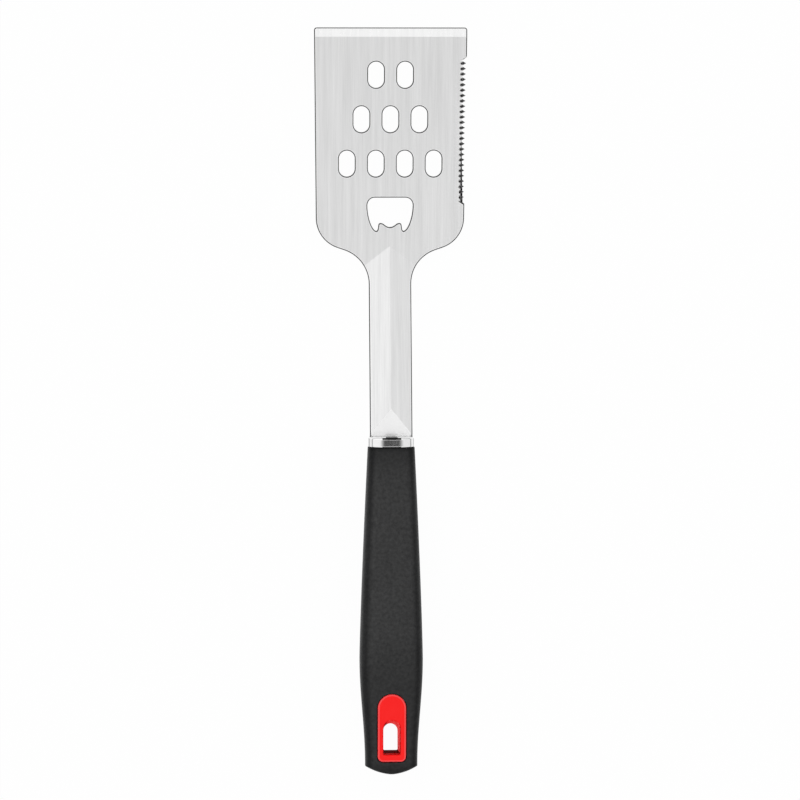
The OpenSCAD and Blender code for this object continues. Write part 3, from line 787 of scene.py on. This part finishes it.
def ferrule():
    """The collar: a cup with rounded rims, open to the grip and slotted for the sheet."""
    half_w, half_h = FERRULE_SIZE[0] / 2, FERRULE_SIZE[1] / 2

    def ring(inset, y):
        return oval(half_w - inset, half_h - inset, y)

    rings = [ring(FERRULE_WALL, FERRULE_GAP)]
    rings += [ring(FERRULE_RIM[0] * (1 - math.sin(a)),
                   FERRULE_GAP + FERRULE_RIM[1] * (1 - math.cos(a)))
              for a in quarter_turn(FERRULE_STEPS[0])]
    rings.append(ring(0, FERRULE_GAP + FERRULE_BAND[0]))
    rings.append(ring(0, FERRULE_LEN - FERRULE_ROUND - FERRULE_BAND[1]))
    rings += [ring(FERRULE_ROUND * (1 - math.cos(a)),
                   FERRULE_LEN - FERRULE_ROUND * (1 - math.sin(a)))
              for a in quarter_turn(FERRULE_STEPS[1])]
    rings.append(ring(FERRULE_ROUND + FERRULE_FACE[0], FERRULE_LEN))
    rings.append(oval(half_w - FERRULE_ROUND - FERRULE_FACE[1], MOUTH_SHADE, FERRULE_LEN))
    piece = lofted("ferrule_shape", rings)
    cut(piece, lofted("hollow", [ring(FERRULE_WALL, y)
                                 for y in (HOLLOW_BACK, FERRULE_LEN - FERRULE_WALL)]))
    slot_w, slot_h = SHEET_SLOT[0] / 2, SHEET_SLOT[1] / 2
    cut(piece, block("mouth", (-slot_w, SLOT_Y[0], -slot_h), (slot_w, SLOT_Y[1], slot_h)))
    to_grip = GRIP.inverted()
    for face in piece.data.polygons:
        face.material_index = ferrule_material(face.normal, to_grip @ face.center)
    shade(piece, SHELL_CREASE)
    weigh_normals(piece)
    finish_piece(piece, CHROMES, "ferrule", slot="chrome")


# ---- floor, light and camera ---------------------------------------------------------

# Strengths of the world, and where along a direction's x, y and z each of them fades
ROOM_LIGHT = 1.0
SOFT_LIGHT = 0.09
SOFT_Y = (-0.10, 0.16)
SOFT_X = (-0.40, 0.20)     # to the left
RIGHT_SHADE = 0.12
RIGHT_X = (0.18, 0.45)
STRIP_LIGHT = 0.07
STRIP_X = (0.05, 0.08, 0.42)       # middle of the strip, then the distances of its fade
STRIP_Y = (-0.107, 0.03, 0.05)
HORIZON_LIGHT = 0.30
HORIZON_Z = (0.05, 0.34)
BELOW_Z = (0.0, 0.02)      # downwards
FLOOR_SIZE = 6.0
FLOOR_DROP = 0.2           # the floor lies this far under the object
FLOOR_WHITE = (0.82, 0.84)
FLOOR_SHARE = 0.97         # share of plain white in what the camera sees of the floor


def studio_world():
    """A pale room: a broad soft light in front on the left, a narrow dark strip overhead
    and a dim band along the horizon."""
    world = bpy.data.worlds.new("studio")
    bpy.context.scene.world = world
    world.use_nodes = True
    nodes, links = world.node_tree.nodes, world.node_tree.links
    background = nodes["Background"]
    place = nodes.new("ShaderNodeTexCoord")
    split = nodes.new("ShaderNodeSeparateXYZ")
    links.new(place.outputs["Generated"], split.inputs[0])
    x, y, z = (split.outputs[k] for k in "XYZ")

    def calc(operation, *values):
        return math_node(nodes, links, operation, *values)

    def fade(value, low, high):
        return map_range(nodes, links, value, low, high, curve="SMOOTHSTEP")

    def away(value, middle, low, high):
        return fade(calc("ABSOLUTE", calc("SUBTRACT", value, middle)), low, high)

    soft = calc("MULTIPLY", fade(y, *SOFT_Y), fade(calc("MULTIPLY", x, -1), *SOFT_X))
    level = calc("MULTIPLY_ADD", soft, SOFT_LIGHT, ROOM_LIGHT)
    level = calc("SUBTRACT", level, calc("MULTIPLY", fade(x, *RIGHT_X), RIGHT_SHADE))
    clear = calc("MAXIMUM", away(x, *STRIP_X), away(y, *STRIP_Y))
    clear = calc("MAXIMUM", clear, STRIP_LIGHT)
    rim = calc("MULTIPLY_ADD", fade(z, *HORIZON_Z), 1 - HORIZON_LIGHT, HORIZON_LIGHT)
    rim = calc("MAXIMUM", rim, fade(calc("MULTIPLY", z, -1), *BELOW_Z))
    lit = calc("MULTIPLY", calc("MULTIPLY", level, clear), rim)
    path = nodes.new("ShaderNodeLightPath")
    shown = nodes.new("ShaderNodeMix")
    shown.data_type = "FLOAT"
    links.new(path.outputs["Is Camera Ray"], shown.inputs["Factor"])
    links.new(lit, shown.inputs["A"])
    shown.inputs["B"].default_value = 1.0
    links.new(shown.outputs["Result"], background.inputs["Strength"])
    background.inputs["Color"].default_value = (1, 1, 1, 1)


def floor():
    """White paper under the object; the camera and reflections see it almost plain white."""
    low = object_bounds()[0]
    bm = bmesh.new()
    bmesh.ops.create_grid(bm, x_segments=8, y_segments=8, size=FLOOR_SIZE)
    piece = from_bmesh("floor", bm)
    piece.location.z = low[2] - FLOOR_DROP * MM
    material, nodes, links, shader = base_material("floor_white")
    paper = grain(nodes, links, PAPER, 3.0)
    links.new(ramp(nodes, links, paper, *FLOOR_WHITE), shader.inputs["Base Color"])
    shader.inputs["Roughness"].default_value = 0.8
    glow = nodes.new("ShaderNodeEmission")
    glow.inputs["Strength"].default_value = 1.0
    path = nodes.new("ShaderNodeLightPath")
    seen = math_node(nodes, links, "MAXIMUM", path.outputs["Is Camera Ray"],
                     path.outputs["Is Glossy Ray"])
    share = math_node(nodes, links, "MULTIPLY", seen, FLOOR_SHARE)
    mix = nodes.new("ShaderNodeMixShader")
    links.new(share, mix.inputs["Fac"])
    links.new(shader.outputs["BSDF"], mix.inputs[1])
    links.new(glow.outputs["Emission"], mix.inputs[2])
    links.new(mix.outputs["Shader"], nodes["Material Output"].inputs["Surface"])
    piece.data.materials.append(material)
    piece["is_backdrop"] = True


def camera():
    """Looks down on the tool along the grip's own upward direction, as in the photograph."""
    turn = GRIP.to_3x3().normalized()
    back = (turn @ CAMERA_FROM).normalized()
    up = turn @ Vector((0, 1, 0))
    up = (up - back * up.dot(back)).normalized()
    right = up.cross(back)
    aim = GRIP @ CAMERA_AIM
    data = bpy.data.cameras.new("camera")
    data.sensor_width = SENSOR
    data.lens = SENSOR * CAMERA_FAR / VIEW_WIDTH
    data.shift_x = VIEW_SHIFT
    data.clip_end = CLIP_END
    piece = bpy.data.objects.new("camera", data)
    bpy.context.scene.collection.objects.link(piece)
    place = aim + back * CAMERA_FAR * MM
    piece.matrix_world = Matrix((
        (right.x, up.x, back.x, place.x),
        (right.y, up.y, back.y, place.y),
        (right.z, up.z, back.z, place.z),
        (0, 0, 0, 1)))
    bpy.context.scene.camera = piece


# ---- the scene -----------------------------------------------------------------------

blade_piece()
ferrule()
shell("grip_front", "front_shell", 1)
shell("grip_rear", "rear_shell", -1)
tab_piece()
eyelet("eyelet_face", "eyelet_front", 1)
eyelet("eyelet_back", "eyelet_rear", -1)
for node, material in (("handle_core", CORE_PLASTIC), ("tang_rivets", RIVET_STEEL)):
    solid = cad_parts[node]
    solid.data.materials.clear()
    solid.data.materials.append(material)

camera()
studio_world()
floor()
bpy.context.scene.view_settings.view_transform = "Standard"
